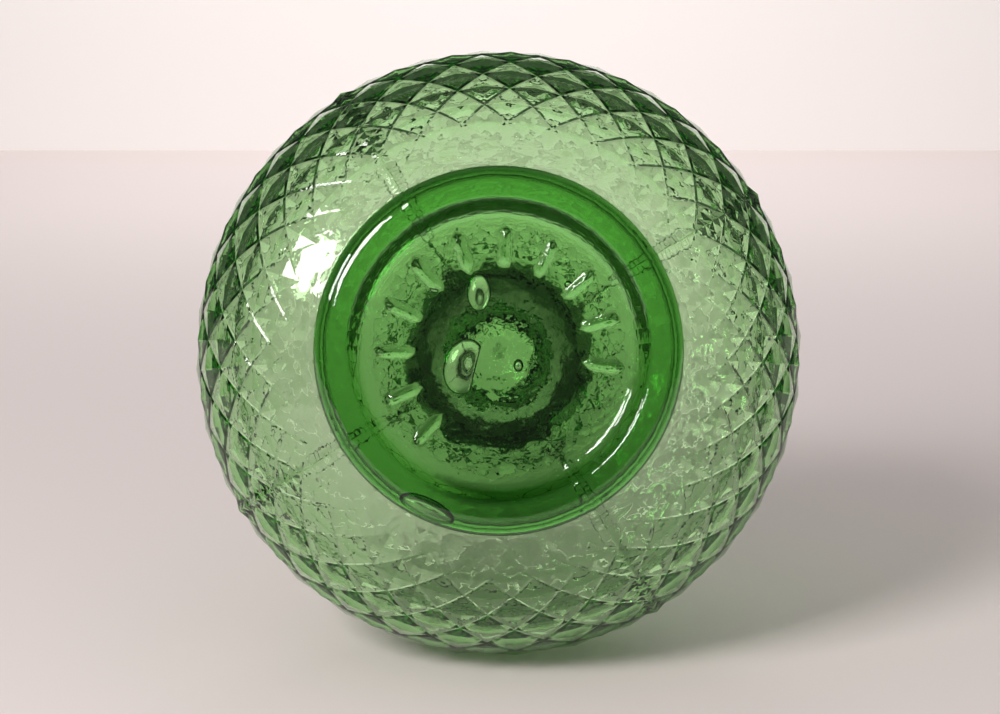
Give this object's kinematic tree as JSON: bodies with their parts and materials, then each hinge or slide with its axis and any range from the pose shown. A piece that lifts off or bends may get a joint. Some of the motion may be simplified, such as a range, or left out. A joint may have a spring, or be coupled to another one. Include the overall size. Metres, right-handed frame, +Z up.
{
  "type": "glass decanter with stopper",
  "caption": "Squat round green glass vessel with a diamond-point body, heavy foot ring, tapering neck and a lift-out hollow glass stopper.",
  "frame": {"origin": "centre of the flat ring that the decanter stands on, at the table", "axes": "+Z up along the vessel's axis from the foot to the stopper; the diamonds' groove crossings on the widest row lie on the X and Y axes"},
  "size_m": [0.1904, 0.1904, 0.3592],
  "materials": {
    "green_glass": "bottle-green soda-lime glass, mould blown and fire polished",
    "clear_vinyl": "soft natural clear vinyl, smooth moulded"
  },
  "bodies": {
    "decanter": {"decanter_body": "green_glass"},
    "sleeve": {"stopper_sleeve": "clear_vinyl"},
    "stopper": {"stopper": "green_glass"}
  },
  "joints": [
    {"name": "stopper_lift", "type": "slide", "parent": "decanter", "child": "sleeve", "axis": [0, 0, 1], "range_m": [0, 0.09]},
    {"name": "stopper_twist", "type": "hinge", "parent": "sleeve", "child": "stopper", "pos_m": [0, 0, 0.28], "axis": [0, 0, 1], "continuous": true}
  ]
}
